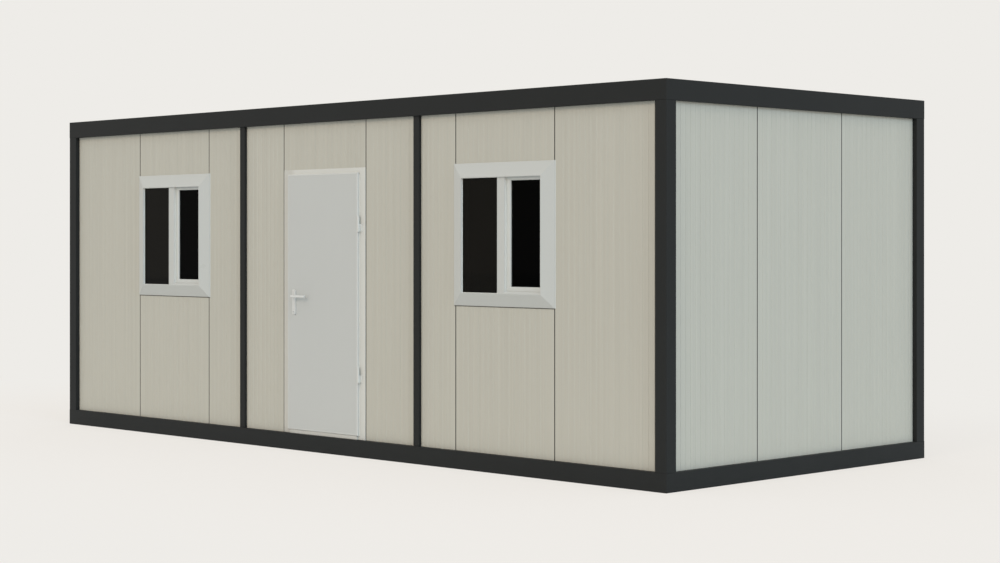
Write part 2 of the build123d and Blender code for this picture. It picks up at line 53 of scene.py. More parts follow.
bl_info = {
    "name": "Portable Site Cabin",
    "version": (1, 0, 0),
    "blender": (4, 5, 0),
    "location": "View3D > Sidebar > Site Cabin",
    "description": "Ribbed panel skins, window and door furniture, finishes and a stage for a site cabin",
    "category": "Object",
}

MM = 0.001


# Places taken from the frame


def low(node):
    """Lowest corner of a node of the frame."""
    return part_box(node)[0]


def high(node):
    """Highest corner of a node of the frame."""
    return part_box(node)[1]


WALL_FOOT = low("front_panel_1")[2]
WALL_HEAD = high("front_panel_1")[2]
FRONT_FACE = low("front_panel_1")[1]
BACK_FACE = high("back_panels")[1]
RIGHT_FACE = high("right_end_panels")[0]
LEFT_FACE = low("left_end_panels")[0]
WALL_END = high("back_panels")[0]
END_WALL_REACH = high("right_end_panels")[1]
ROOM_BACK = low("back_panels")[1]
ROOM_FRONT = high("front_panel_1")[1]
ROOM_RIGHT = low("right_end_panels")[0]
FLOOR_TOP = high("floor_board")[2]
CEILING_FOOT = low("ceiling_board")[2]


# Settings


def srgb(*value):
    """Linear colour of an 8-bit red, green and blue."""
    shares = (part / 255 for part in value)
    return tuple(v / 12.92 if v <= 0.04045 else ((v + 0.055) / 1.055) ** 2.4 for v in shares)


def a_colour(label, text, *value):
    """Colour property whose default is an 8-bit colour."""
    return bpy.props.FloatVectorProperty(
        name=label, description=text, subtype="COLOR", size=3, min=0, max=1, default=srgb(*value)
    )


def a_length(label, text, value):
    """Length property with its default, in metres."""
    return bpy.props.FloatProperty(
        name=label, description=text, subtype="DISTANCE", min=0, precision=4, default=value
    )


def a_strength(label, text, value):
    """Strength of a light with its default."""
    return bpy.props.FloatProperty(name=label, description=text, min=0, default=value)


class CabinColours(bpy.types.PropertyGroup):
    """Colours of the cabin's finishes."""

    frame_paint: a_colour("Frame paint", "Paint of the steel rails and posts", 39, 40, 39)
    panel_sheet: a_colour("Panel coat", "Coating of the wall panels", 183, 180, 167)
    window_plastic: a_colour("Window white", "Plastic of the window frames", 188, 189, 183)
    glass_tint: a_colour("Glass tint", "Tint of the window glass", 44, 41, 34)
    door_coat: a_colour("Door paint", "Paint of the door leaf", 187, 188, 183)
    jamb_coat: a_colour("Door frame paint", "Paint of the door frame", 203, 202, 194)
    handle_metal: a_colour("Handle metal", "Levers, cylinders and screws", 214, 214, 209)
    hinge_coat: a_colour("Hinge paint", "Paint of the door's hinges", 206, 206, 199)
    # The plates are a darker copy of the handle metal: partly their own tone, partly painted shade from
    # the levers over them.
    plate_metal_and_shade: a_colour("Plate metal", "Back plates of the levers", 206, 206, 201)
    # Painted light: the sashes' white is a paler copy of the window white, making up for the shade in
    # their deep recess.
    sash_plastic_painted_light: a_colour("Sash white", "Plastic of the sliding sashes", 199, 200, 194)
    zinc: a_colour("Zinc", "Galvanised joists and roof sheet", 168, 172, 175)
    floor_vinyl: a_colour("Floor covering", "Covering of the floor board", 128, 122, 112)
    ceiling_face: a_colour("Ceiling", "Face of the ceiling board", 214, 213, 208)
    # The rubber colour also paints the shade of the lock keyways.
    rubber: a_colour("Rubber", "Gaskets and seals", 34, 33, 31)
    # The seam rubber is dark partly in its own right and partly as painted shade inside the open joints.
    seam_rubber_and_shade: a_colour("Seam rubber", "Rubber in the seams between panels", 58, 56, 52)
    # Painted shadow: this dark seal stands in for the shadow under each window's outer trim.
    trim_shadow_seal: a_colour("Foot seal", "Seal under the windows' outer trim", 94, 92, 86)
    # Painted light: the brush is pale so that it reads lit in the shade under the leaf's lip.
    foot_brush_painted_light: a_colour("Foot brush", "Brush under the door leaf", 204, 202, 194)
    # Painted light: the pale seals, gaskets, linings and covers sit in slots and recesses that would be
    # in shade, so that they read lit.
    pale_seal_painted_light: a_colour("Pale seal", "Seals of the windows and the door", 224, 222, 213)
    # The profile is paler than the leaf: partly its own colour, partly a painted highlight on the leaf's
    # edge.
    edge_profile_and_highlight: a_colour("Edge profile", "Profile round the door leaf's edge", 199, 199, 193)
    # The dust colour is also the tone of the painted shade on the left door jamb.
    dust: a_colour("Dust", "Dust that settles near the ground", 150, 142, 126)
    background: a_colour("Background", "Colour of the floor and backdrop", 238, 236, 232)


class CabinSizes(bpy.types.PropertyGroup):
    """Sizes of the pieces that dress the cabin."""

    panel_module: a_length("Panel module", "Width of a whole wall panel", 0.985)
    seam_width: a_length("Seam width", "Open joint between two panels", 0.006)
    rib_pitch: a_length("Rib pitch", "Distance from one flat bead to the next", 0.0513)
    rib_height: a_length("Rib height", "How far a bead stands off the sheet", 0.0015)
    line_depth: a_length("Line depth", "Depth of the fine lines rolled into the sheet", 0.0003)
    sheet_proud: a_length("Sheet", "How far the sheet's face stands off the panel", 0.0006)
    fixed_gasket: a_length("Fixed gasket", "Visible width of a fixed pane's gasket", 0.0022)
    sash_gasket: a_length("Sash gasket", "Visible width of a sash pane's gasket", 0.004)
    # The bead beside a window's trim is a painted highlight along its right edge.
    highlight_bead_width: a_length("Sealant bead", "Width of the bead beside a window's trim", 0.005)
    # The lip widens the dark line of painted shade along each seam.
    seam_lip: a_length("Seam lip", "How far a seam's rubber laps over each panel's edge", 0.0016)
    # The seal under a window is a painted shadow of its trim.
    window_shadow_seal: a_length("Window seal", "Height of the seal under a window", 0.006)
    skirting_height: a_length("Skirting height", "Height of the skirting inside", 0.06)
    roof_screw_pitch: a_length("Roof screw pitch", "Distance between screws along a joist", 0.35)


class CabinStage(bpy.types.PropertyGroup):
    """Camera and light."""

    camera_place: bpy.props.FloatVectorProperty(
        name="Camera", description="Place of the camera", subtype="XYZ", unit="LENGTH",
        default=(11.934, -11.430, 1.646),
    )
    camera_heading: bpy.props.FloatProperty(
        name="Heading", description="How far the camera turns to its left from facing the back",
        unit="ROTATION", subtype="ANGLE", default=math.radians(45.046),
    )
    lens: bpy.props.FloatProperty(
        name="Lens", description="Focal length for a sensor 36 mm wide", unit="CAMERA", default=71.987
    )
    sky_light: a_strength("Sky light", "Strength of the even light", 0.927)
    front_light: a_strength("Front light", "Strength of the front lamp", 0.694)
    side_light: a_strength("Side light", "Strength of the side lamp", 1.022)


def sizes():
    """The scene's sizes."""
    return bpy.context.scene.cabin_sizes


# Shader nodes

GREY = (0.5, 0.5, 0.5, 1)


def fill(tree, node, inputs):
    """Sets or links a node's inputs by name or number."""
    for key, value in inputs.items():
        if isinstance(value, bpy.types.NodeSocket):
            tree.links.new(value, node.inputs[key])
        else:
            node.inputs[key].default_value = value


def add_node(tree, kind, inputs=None, **options):
    """Adds a shader node, with its options and its inputs."""
    made = tree.nodes.new(f"ShaderNode{kind}")
    for key, value in options.items():
        setattr(made, key, value)
    fill(tree, made, inputs or {})
    return made


def maths(tree, operation, *values):
    """Value of one sum."""
    return add_node(tree, "Math", dict(enumerate(values)), operation=operation).outputs[0]


def remap(tree, value, span, result):
    """Value carried smoothly from one span to another."""
    inputs = dict(enumerate((value, *span, *result)))
    return add_node(tree, "MapRange", inputs, interpolation_type="SMOOTHSTEP").outputs[0]


def blend_colours(tree, share, first, second):
    """Colour between two."""
    return add_node(tree, "Mix", {0: share, 6: first, 7: second}, data_type="RGBA").outputs[2]


def tinted(tree, colour, pattern, amount):
    """Colour made darker and paler by at most a share of itself, as a pattern runs from 0 to 1."""
    swing = maths(tree, "MULTIPLY_ADD", pattern, 2.0, -1.0)
    inputs = {0: colour, "Scale": maths(tree, "MULTIPLY_ADD", swing, amount, 1.0)}
    return add_node(tree, "VectorMath", inputs, operation="SCALE").outputs[0]


def object_place(tree):
    """Where a point of the surface is, in metres."""
    return add_node(tree, "TexCoord").outputs["Object"]


def split(tree, vector):
    """X, Y and Z of a vector."""
    return add_node(tree, "SeparateXYZ", {0: vector}).outputs


def clouds(tree, place, scale, detail, roughness=0.5):
    """Soft clouds from 0 to 1."""
    inputs = {"Vector": place, "Scale": scale, "Detail": detail, "Roughness": roughness}
    return add_node(tree, "TexNoise", inputs).outputs["Fac"]


def grains(tree, scale):
    """Small cells, each with its own even grey from 0 to 1."""
    inputs = {"Vector": object_place(tree), "Scale": scale}
    cell = add_node(tree, "TexVoronoi", inputs).outputs["Color"]
    return add_node(tree, "SeparateColor", {0: cell}).outputs[0]


def dust_and_shade_cover(tree, given, dust_and_shade, where, broken):
    """The given colour under a cover colour, real dust or painted shade, that lies where one mask says,
    broken up by another.
    """
    mask = maths(tree, "MULTIPLY", maths(tree, "MULTIPLY", where, broken), given["Amount"])
    return blend_colours(tree, mask, given["Colour"], given[dust_and_shade])


def coat_mottle(tree, given):
    """Slow, faint change of a coat's colour over a large sheet."""
    pattern = clouds(tree, object_place(tree), given["Scale"], 4.0, 0.6)
    return {"Colour": tinted(tree, given["Colour"], pattern, given["Amount"])}


def ground_dust(tree, given):
    """Dust that thins out with height, broken up by small clouds."""
    place = object_place(tree)
    height = maths(tree, "DIVIDE", split(tree, place)["Z"], given["Reach"])
    fade = remap(tree, height, (0.0, 1.0), (1.0, 0.0))
    broken = remap(tree, clouds(tree, place, 7.0, 6.0), (0.35, 0.7), (0.35, 1.0))
    return {"Colour": dust_and_shade_cover(tree, given, "Dust", fade, broken)}


def upright_streaks(tree, given):
    """Faint upright streaks of darker and lighter tone; on the wall sheets they are painted shade,
    standing in for the faint lines along the ribs.
    """
    parts = split(tree, object_place(tree))
    along = maths(tree, "ADD", parts["X"], parts["Y"])
    slow = maths(tree, "MULTIPLY", parts["Z"], 0.006)
    place = add_node(tree, "CombineXYZ", {"X": along, "Y": slow}).outputs[0]
    pattern = clouds(tree, place, given["Across"], 5.0, 0.65)
    return {"Colour": tinted(tree, given["Colour"], pattern, given["Amount"])}


def left_jamb_shade(tree, given):
    """Painted shade: a greyer band on the lock side of the doorway, standing in for the shade that falls
    on the left jamb.
    """
    place = object_place(tree)
    near = remap(tree, split(tree, place)["X"], (-0.41, -0.34), (1.0, 0.0))
    broken = remap(tree, clouds(tree, place, 11.0, 5.0), (0.3, 0.7), (0.85, 1.0))
    return {"Colour": dust_and_shade_cover(tree, given, "Grime", near, broken)}


def paint_peel(tree, given):
    """Fine unevenness of sprayed or rolled paint, and its change of gloss."""
    place = object_place(tree)
    fine = clouds(tree, place, given["Scale"], 2.0)
    centred = maths(tree, "SUBTRACT", clouds(tree, place, 5.0, 5.0), 0.5)
    gloss = maths(tree, "ADD", given["Gloss"], maths(tree, "MULTIPLY", centred, given["Swing"]))
    return {"Height": fine, "Roughness": gloss}


def panel_lines(tree, given):
    """Beads rolled into the inner sheets, as a height across the wall."""
    parts = split(tree, object_place(tree))
    turn = maths(tree, "DIVIDE", maths(tree, "ADD", parts["X"], parts["Y"]), given["Pitch"])
    fold = maths(tree, "PINGPONG", turn, 0.5)
    return {"Height": remap(tree, fold, (0.22, 0.28), (0.0, 1.0))}


def zinc_spangle(tree, given):
    """Crystals of a hot-dip zinc coat: their grey and their gloss."""
    grey = grains(tree, given["Scale"])
    return {"Colour": tinted(tree, given["Colour"], grey, given["Contrast"]), "Mask": grey}


# What works out each shared group's outputs, and its inputs with their defaults
GROUPS = {
    "coat_mottle": (coat_mottle, {"Colour": GREY, "Scale": 1.5, "Amount": 0.03}),
    "ground_dust": (ground_dust, {"Colour": GREY, "Dust": GREY, "Amount": 0.1, "Reach": 0.5}),
    "upright_streaks": (upright_streaks, {"Colour": GREY, "Across": 14.0, "Amount": 0.02}),
    # Painted shade for the left door jamb, in the colour it is given
    "left_jamb_shade": (left_jamb_shade, {"Colour": GREY, "Grime": GREY, "Amount": 0.2}),
    "paint_peel": (paint_peel, {"Scale": 400.0, "Gloss": 0.4, "Swing": 0.1}),
    "panel_lines": (panel_lines, {"Pitch": 0.05}),
    "zinc_spangle": (zinc_spangle, {"Colour": GREY, "Scale": 60.0, "Contrast": 0.1}),
}


def new_group(name):
    """Builds one of the shared groups, with its named inputs and outputs."""
    work_out, inputs = GROUPS[name]
    tree = bpy.data.node_groups.new(name, "ShaderNodeTree")
    for label, value in inputs.items():
        kind = "NodeSocketColor" if isinstance(value, tuple) else "NodeSocketFloat"
        socket = tree.interface.new_socket(label, in_out="INPUT", socket_type=kind)
        socket.default_value = value
    results = work_out(tree, tree.nodes.new("NodeGroupInput").outputs)
    for label in results:
        kind = "NodeSocketColor" if label == "Colour" else "NodeSocketFloat"
        tree.interface.new_socket(label, in_out="OUTPUT", socket_type=kind)
    fill(tree, tree.nodes.new("NodeGroupOutput"), results)
    return tree


def group(tree, name, inputs):
    """Places a shared group in a material with that material's own values."""
    shared = bpy.data.node_groups.get(name) or new_group(name)
    return add_node(tree, "Group", inputs, node_tree=shared).outputs


def layer(tree, name, shade, **values):
    """Shade under one more shared group that changes its colour."""
    return group(tree, name, {"Colour": shade, **values})["Colour"]


def tone(name):
    """One of the scene's colours, with full alpha."""
    return (*getattr(bpy.context.scene.cabin_colours, name), 1.0)


# Finishes


def new_material(name):
    """The node tree and the surface shader of a new material."""
    material = bpy.data.materials.new(name)
    material.use_nodes = True
    return material.node_tree, material.node_tree.nodes["Principled BSDF"]


def add_bump(tree, shader, height, distance):
    """Feeds a height into the shader's normal."""
    bump = add_node(tree, "Bump", {"Height": height, "Distance": distance, "Strength": 1.0})
    fill(tree, shader, {"Normal": bump.outputs[0]})


def coated(name, gloss, mottle, peel, depth, dust=0.0, streaks=0.0, across=16.0,
           shine=0.5, metallic=0.0, lines=0.0, jamb_shade=0.0, colour=None):
    """Paint, plastic or coated sheet, in the colour of its own name unless another is named."""
    tree, shader = new_material(name)
    # The dust colour serves for real dust near the ground and for the painted shade on the left jamb.
    dust_and_shade = tone("dust")
    shade = layer(tree, "coat_mottle", tone(colour or name), Scale=1.7, Amount=mottle)
    if streaks:
        shade = layer(tree, "upright_streaks", shade, Across=across, Amount=streaks)
    if dust:
        shade = layer(tree, "ground_dust", shade, Dust=dust_and_shade, Amount=dust, Reach=0.45)
    # This layer lays painted shade on the left door jamb.
    if jamb_shade:
        shade = layer(tree, "left_jamb_shade", shade, Grime=dust_and_shade, Amount=jamb_shade)
    surface = group(tree, "paint_peel", {"Scale": peel, "Gloss": gloss, "Swing": 0.12})
    height = maths(tree, "MULTIPLY", surface["Height"], depth)
    if lines:
        rolled = group(tree, "panel_lines", {"Pitch": sizes().rib_pitch})["Height"]
        height = maths(tree, "ADD", height, maths(tree, "MULTIPLY", rolled, lines))
    add_bump(tree, shader, height, MM)
    fill(tree, shader, {"Base Color": shade, "Roughness": surface["Roughness"]})
    fill(tree, shader, {"Metallic": metallic, "Specular IOR Level": shine})


def galvanised(name, scale, contrast):
    """Zinc coat with its crystals."""
    tree, shader = new_material(name)
    inputs = {"Colour": tone("zinc"), "Scale": scale, "Contrast": contrast}
    spangle = group(tree, "zinc_spangle", inputs)
    shade = layer(tree, "upright_streaks", spangle["Colour"], Across=9.0, Amount=0.08)
    gloss = remap(tree, spangle["Mask"], (0.0, 1.0), (0.36, 0.52))
    add_bump(tree, shader, spangle["Mask"], 0.00003)
    fill(tree, shader, {"Base Color": shade, "Roughness": gloss, "Metallic": 0.75})


def tinted_glass(name, index, clear):
    """Dark sheet of glass; a lower index gives a weaker reflection."""
    tree, shader = new_material(name)
    shade = layer(tree, "coat_mottle", tone("glass_tint"), Scale=2.5, Amount=0.2)
    wiped = remap(tree, clouds(tree, object_place(tree), 9.0, 6.0), (0.3, 0.8), (0.0, 0.05))
    fill(tree, shader, {"Base Color": shade, "Roughness": wiped})
    fill(tree, shader, {"Transmission Weight": clear, "IOR": index})


def floor_covering(name):
    """Sheet flooring with small chips in two tones."""
    tree, shader = new_material(name)
    chips = grains(tree, 260.0)
    pale = remap(tree, chips, (0.78, 0.82), (0.0, 0.5))
    dark = remap(tree, chips, (0.18, 0.22), (0.45, 0.0))
    shade = layer(tree, "coat_mottle", tone("floor_vinyl"), Scale=2.0, Amount=0.08)
    shade = blend_colours(tree, pale, shade, (*srgb(176, 170, 160), 1))
    shade = blend_colours(tree, dark, shade, (*srgb(86, 82, 76), 1))
    surface = group(tree, "paint_peel", {"Scale": 900.0, "Gloss": 0.45, "Swing": 0.15})
    add_bump(tree, shader, surface["Height"], 0.0001)
    fill(tree, shader, {"Base Color": shade, "Roughness": surface["Roughness"]})


def make_finishes():
    """Makes every finish: a coat's gloss, mottle, scale and depth of unevenness, and what else it has."""
    coated("frame_paint", 0.5, 0.08, 350.0, 0.05, shine=0.1)
    # The wall sheets' streaks are painted shade for the faint lines along their ribs.
    sheet = {"dust": 0.02, "streaks": 0.1, "across": 40.0, "shine": 0.25}
    coated("panel_sheet", 0.5, 0.012, 500.0, 0.02, **sheet)
    coated("panel_core", 0.5, 0.012, 500.0, 0.02, shine=0.25, lines=0.9, colour="panel_sheet")
    coated("window_plastic", 0.3, 0.015, 250.0, 0.01, streaks=0.01, shine=0.3)
    tinted_glass("glass_outer", 1.13, 0.8)
    tinted_glass("glass_sash", 1.08, 1.0)
    coated("door_coat", 0.36, 0.02, 420.0, 0.05, dust=0.03, streaks=0.01, shine=0.3)
    # The door frame's last setting lays painted shade on its left jamb.
    coated("jamb_coat", 0.38, 0.02, 420.0, 0.05, dust=0.03, shine=0.3, jamb_shade=0.27)
    coated("handle_metal", 0.33, 0.05, 900.0, 0.01, metallic=0.2)
    coated("hinge_coat", 0.36, 0.03, 900.0, 0.02, shine=0.4)
    # Darker copy of the handle metal, partly painted shade under the levers
    coated("plate_metal_and_shade", 0.33, 0.05, 900.0, 0.01, metallic=0.2)
    # Paler copy of the window plastic: painted light on the sashes and on the trims' edge beads
    coated("sash_plastic_painted_light", 0.3, 0.015, 250.0, 0.01, shine=0.3)
    galvanised("zinc_joist", 70.0, 0.175)
    galvanised("zinc_roof", 45.0, 0.125)
    floor_covering("floor_covering")
    coated("ceiling_face", 0.55, 0.02, 300.0, 0.04)
    coated("rubber", 0.7, 0.1, 1200.0, 0.06, shine=0.2)
    # Dark seam rubber, partly painted shade of the open joints
    coated("seam_rubber_and_shade", 0.75, 0.1, 900.0, 0.05, shine=0.2)
    # Painted shadow under the window trims
    coated("trim_shadow_seal", 0.7, 0.1, 900.0, 0.05, shine=0.2)
    # Pale brush that paints light under the door leaf
    coated("foot_brush_painted_light", 0.8, 0.1, 1500.0, 0.1, shine=0.2)
    # Pale pieces that paint light into shaded slots and recesses
    coated("pale_seal_painted_light", 0.6, 0.05, 900.0, 0.03, shine=0.3)
    coated("edge_profile_and_highlight", 0.35, 0.02, 900.0, 0.01, shine=0.4)


# Finish of each node by the start of its name; the first that fits counts
NODE_FINISHES = (
    ("frame_paint", ("base_rail_", "top_rail_", "corner_post_", "mid_posts_")),
    ("zinc_joist", ("floor_joists", "roof_joists")),
    ("zinc_roof", ("roof_sheet",)),
    ("floor_covering", ("floor_board",)),
    ("ceiling_face", ("ceiling_board",)),
    ("glass_outer", ("window_fixed_glass_",)),
    ("glass_sash", ("window_sash_glass_",)),
    ("panel_core", ("window_panel_", "front_panel_", "over_door_panel", "back_panels")),
    ("panel_core", ("right_end_panels", "left_end_panels")),
    ("sash_plastic_painted_light", ("window_sash_",)),
    ("window_plastic", ("window_",)),
    ("jamb_coat", ("door_frame",)),
    ("door_coat", ("door_leaf",)),
    ("plate_metal_and_shade", ("door_lock_plates",)),
    ("handle_metal", ("door_levers",)),
    ("hinge_coat", ("hinge_",)),
)


# Mesh helpers

UP = (0, 0, 1)


def add_row(bm, place, points):
    """Row of corners at a place's own points."""
    return [bm.verts.new(place @ Vector(point)) for point in points]


def join_rows(bm, one, two):
    """Closed band of faces between two equal rows of corners."""
    for i in range(len(one)):
        j = (i + 1) % len(one)
        bm.faces.new((one[i], one[j], two[j], two[i]))


def add_bar(bm, outline, place, length):
    """Closed bar: an outline in the place's X and Y, run along its Z."""
    foot, head = (add_row(bm, place, [(u, v, z) for u, v in outline]) for z in (0, length))
    join_rows(bm, foot, head)
    bm.faces.new(foot)
    bm.faces.new(head)


def add_sheet(bm, face, back, place, length):
    """Closed folded sheet between a face line and an equal back line, run along the place's Z."""
    lines = ((line, z) for line in (face, back) for z in (0, length))
    rows = [add_row(bm, place, [(u, v, z) for u, v in line]) for line, z in lines]
    face_low, face_high, back_low, back_high = rows
    last = len(face) - 1
    sides = ((face_low, face_high), (back_low, back_high), (face_low, back_low), (face_high, back_high))
    for i in range(last):
        for one, two in sides:
            bm.faces.new((one[i], one[i + 1], two[i + 1], two[i]))
    for i in (0, last):
        bm.faces.new((face_low[i], face_high[i], back_high[i], back_low[i]))


def add_ring(bm, outline, place, half_width, half_height):
    """Mitred ring round a rectangle; the outline is (outward, off the plane)."""
    loops = []
    for out, off in outline:
        w, h = half_width + out, half_height + out
        loops.append(add_row(bm, place, ((-w, -h, off), (w, -h, off), (w, h, off), (-w, h, off))))
    for one, two in zip(loops, loops[1:] + loops[:1]):
        join_rows(bm, one, two)


def add_turned(bm, profile, place, sides):
    """Turned solid: (radius, height) from the axis at the foot to the axis at the top."""
    foot, top = add_row(bm, place, [(0, 0, profile[end][1]) for end in (0, -1)])
    turns = [2 * math.pi * i / sides for i in range(sides)]
    rings = []
    for radius, height in profile[1:-1]:
        points = [(radius * math.cos(turn), radius * math.sin(turn), height) for turn in turns]
        rings.append(add_row(bm, place, points))
    for i in range(sides):
        j = (i + 1) % sides
        bm.faces.new((foot, rings[0][j], rings[0][i]))
        bm.faces.new((top, rings[-1][i], rings[-1][j]))
        for one, two in zip(rings, rings[1:]):
            bm.faces.new((one[i], one[j], two[j], two[i]))


def placed(origin, x, y, z):
    """Place whose own X, Y and Z point in these directions."""
    turned = Matrix((x, y, z)).transposed().to_4x4()
    turned.translation = origin
    return turned


def axes(origin, across, up):
    """Place with its X, Y and Z along across, up and their normal."""
    return placed(origin, across, up, Vector(across).cross(Vector(up)))


def add_upright(bm, outline, foot, head, x=0, y=0):
    """Upright bar from foot to head; its outline is a plan, drawn round x and y."""
    add_bar(bm, outline, Matrix.Translation((x, y, foot)), head - foot)


def add_object(name, data):
    """Object of the scene that shows a mesh, a camera or a lamp."""
    made = bpy.data.objects.new(name, data)
    bpy.context.scene.collection.objects.link(made)
    return made


def add_mesh(bm, name, material):
    """Object made from a mesh, with its finish."""
    mesh = bpy.data.meshes.new(name)
    bm.to_mesh(mesh)
    bm.free()
    mesh.materials.append(bpy.data.materials[material])
    return add_object(name, mesh)


def add_piece(bm, name, material, body="cabin", smooth=None):
    """Makes a piece from a closed mesh and lets it ride on a body."""
    bmesh.ops.recalc_face_normals(bm, faces=bm.faces)
    piece = add_mesh(bm, name, material)
    if smooth:
        piece.data.shade_smooth()
        piece.data.set_sharp_from_angle(angle=math.radians(smooth))
    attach(piece, body)


# Walls

FRONT_WALL = placed((0, FRONT_FACE, 0), (1, 0, 0), (0, -1, 0), UP)
BACK_WALL = placed((0, BACK_FACE, 0), (1, 0, 0), (0, 1, 0), UP)
RIGHT_WALL = placed((RIGHT_FACE, 0, 0), (0, 1, 0), (1, 0, 0), UP)
LEFT_WALL = placed((LEFT_FACE, 0, 0), (0, 1, 0), (-1, 0, 0), UP)
WINDOW_SPANS = {1: "left", 5: "right"}
DOOR_SPAN = 3


def long_seams():
    """Panel edges along the front and back walls."""
    module = sizes().panel_module
    return [-WALL_END, *[(step + 0.5) * module for step in range(-3, 3)], WALL_END]


def end_seams():
    """Panel edges across an end wall."""
    half = sizes().panel_module / 2
    return [-END_WALL_REACH, -half, half, END_WALL_REACH]


def whole_spans(edges):
    """Left, right, foot and head of full-height sheets between each two edges."""
    return [(left, right, WALL_FOOT, WALL_HEAD) for left, right in zip(edges, edges[1:])]


def front_spans():
    """The same for the front wall, where windows and door cut the sheets short."""
    under_trim = 0.004
    spans = []
    for index, (left, right, foot, head) in enumerate(whole_spans(long_seams())):
        if index in WINDOW_SPANS:
            trim_low, trim_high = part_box(f"window_frame_{WINDOW_SPANS[index]}")
            spans.append((left, right, foot, trim_low[2]))
            spans.append((left, right, trim_high[2] - under_trim, head))
        elif index == DOOR_SPAN:
            spans.append((left, right, low("over_door_panel")[2], head))
        else:
            spans.append((left, right, foot, head))
    return spans


def rolled_line(width):
    """Face of one sheet: flat beads on a regular pitch, with fine lines on beads and valleys alike."""
    size = sizes()
    plain_edges = 0.02
    slope = 0.0015
    line_half = 0.0012
    groove = ((-line_half, 0), (0, size.line_depth), (line_half, 0))
    line_places = (0.17, 0.5, 0.83)
    count = int((width - plain_edges) / size.rib_pitch)
    start = (width - count * size.rib_pitch) / 2
    half = size.rib_pitch / 2
    points = []
    for step in range(2 * count):
        left = start + step * half
        level = size.sheet_proud + (size.rib_height if step % 2 else 0.0)
        points.append((left + slope / 2, level))
        for share in line_places:
            centre = left + share * half
            points += [(centre + aside, level - deep) for aside, deep in groove]
        points.append((left + half - slope / 2, level))
    return points


def add_panel_sheet(bm, place, left, right, foot, head):
    """Sheet of one panel, folded into the seams at both edges."""
    size = sizes()
    fold = 0.0003
    lip_depth = 0.0001
    off = 0.00005
    near = left + size.seam_width / 2 + size.seam_lip
    far = right - size.seam_width / 2 - size.seam_lip
    proud = size.sheet_proud
    rolled = [(near + u, v) for u, v in rolled_line(far - near)]
    face = [(near - fold, lip_depth), (near - fold, proud - fold), (near, proud), *rolled]
    face += [(far, proud), (far + fold, proud - fold), (far + fold, lip_depth)]
    back = [(near - off, lip_depth), (near - off, off), (near, off), *[(u, off) for u, v in rolled]]
    back += [(far, off), (far + off, off), (far + off, lip_depth)]
    add_sheet(bm, face, back, place @ Matrix.Translation((0, 0, foot)), head - foot)


def wall_skin(name, place, spans):
    """All the sheets of one wall as one piece."""
    bm = bmesh.new()
    for span in spans:
        add_panel_sheet(bm, place, *span)
    add_piece(bm, name, "panel_sheet")


def add_seam_liner(bm, place, centre):
    """Rubber channel in a seam, with a flat lip over each panel's edge; its dark colour is partly the
    rubber's own and partly painted shade of the open joint.
    """
    size = sizes()
    clear = 0.0003
    half = size.seam_width / 2 - clear
    over = size.seam_width / 2 + size.seam_lip - clear
    deep, foot_face, face, skin = -0.0119, 0.00005, 0.0003, 0.0005
    outline = [
        (-over, foot_face), (-over, face), (skin - half, face), (skin - half, deep + skin),
        (half - skin, deep + skin), (half - skin, face), (over, face), (over, foot_face),
        (half, foot_face), (half, deep), (-half, deep), (-half, foot_face),
    ]
    add_bar(bm, outline, place @ Matrix.Translation((centre, 0, WALL_FOOT)), WALL_HEAD - WALL_FOOT)


class Step:
    """What every operator here shares: it builds, then says that it finished."""

    def execute(self, context):
        self.build()
        return {"FINISHED"}


class CABIN_OT_finishes(Step, bpy.types.Operator):
    """Makes every finish and puts it on the frame's own pieces"""

    bl_idname = "cabin.finishes"
    bl_label = "Finishes"

    def build(self):
        make_finishes()
        for name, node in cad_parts.items():
            matches = [material for material, starts in NODE_FINISHES if name.startswith(starts)]
            if not matches:
                raise RuntimeError(f"{name} has no finish")
            for place in node.material_slots:
                place.material = bpy.data.materials[matches[0]]


class CABIN_OT_wall_skins(Step, bpy.types.Operator):
    """Covers the four walls with rolled sheets, folded into the seams"""

    bl_idname = "cabin.wall_skins"
    bl_label = "Wall skins"

    def build(self):
        wall_skin("front_wall_skin", FRONT_WALL, front_spans())
        wall_skin("back_wall_skin", BACK_WALL, whole_spans(long_seams()))
        wall_skin("right_wall_skin", RIGHT_WALL, whole_spans(end_seams()))
        wall_skin("left_wall_skin", LEFT_WALL, whole_spans(end_seams()))


class CABIN_OT_seam_liners(Step, bpy.types.Operator):
    """Lines the seams between the panels with rubber, dark partly in its own right and partly as painted
    shade inside the joints
    """

    bl_idname = "cabin.seam_liners"
    bl_label = "Seam liners"

    def build(self):
        bm = bmesh.new()
        walls = ((FRONT_WALL, BACK_WALL, long_seams()), (RIGHT_WALL, LEFT_WALL, end_seams()))
        for *places, edges in walls:
            for place in places:
                for centre in edges[1:-1]:
                    add_seam_liner(bm, place, centre)
        add_piece(bm, "seam_liners", "seam_rubber_and_shade")


# Windows

MULLION_WIDTH = 0.078
MULLION_DEPTH = 0.016
SASH_GAP = 0.004
GLASS_BITE = 0.010
SEAL_PROUD = 0.0032


def add_glazing(bm, node, outward, width, tuck):
    """Soft gasket round one pane, on one of its faces, tucked deeper into the head and the foot."""
    pane_low, pane_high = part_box(node)
    face = pane_low if outward < 0 else pane_high
    centre = (Vector(pane_low) + Vector(pane_high)) / 2
    half_width = (pane_high[0] - pane_low[0]) / 2 - GLASS_BITE
    half_height = (pane_high[2] - pane_low[2]) / 2 - GLASS_BITE + tuck
    outline = [
        (0.001, 0), (0.001, 0.0028), (-0.3 * width, 0.003),
        (-0.8 * width, 0.0016), (-width, 0.0003), (-width, 0),
    ]
    add_ring(bm, outline, facing_place(centre[0], face[1], centre[2], outward), half_width, half_height)


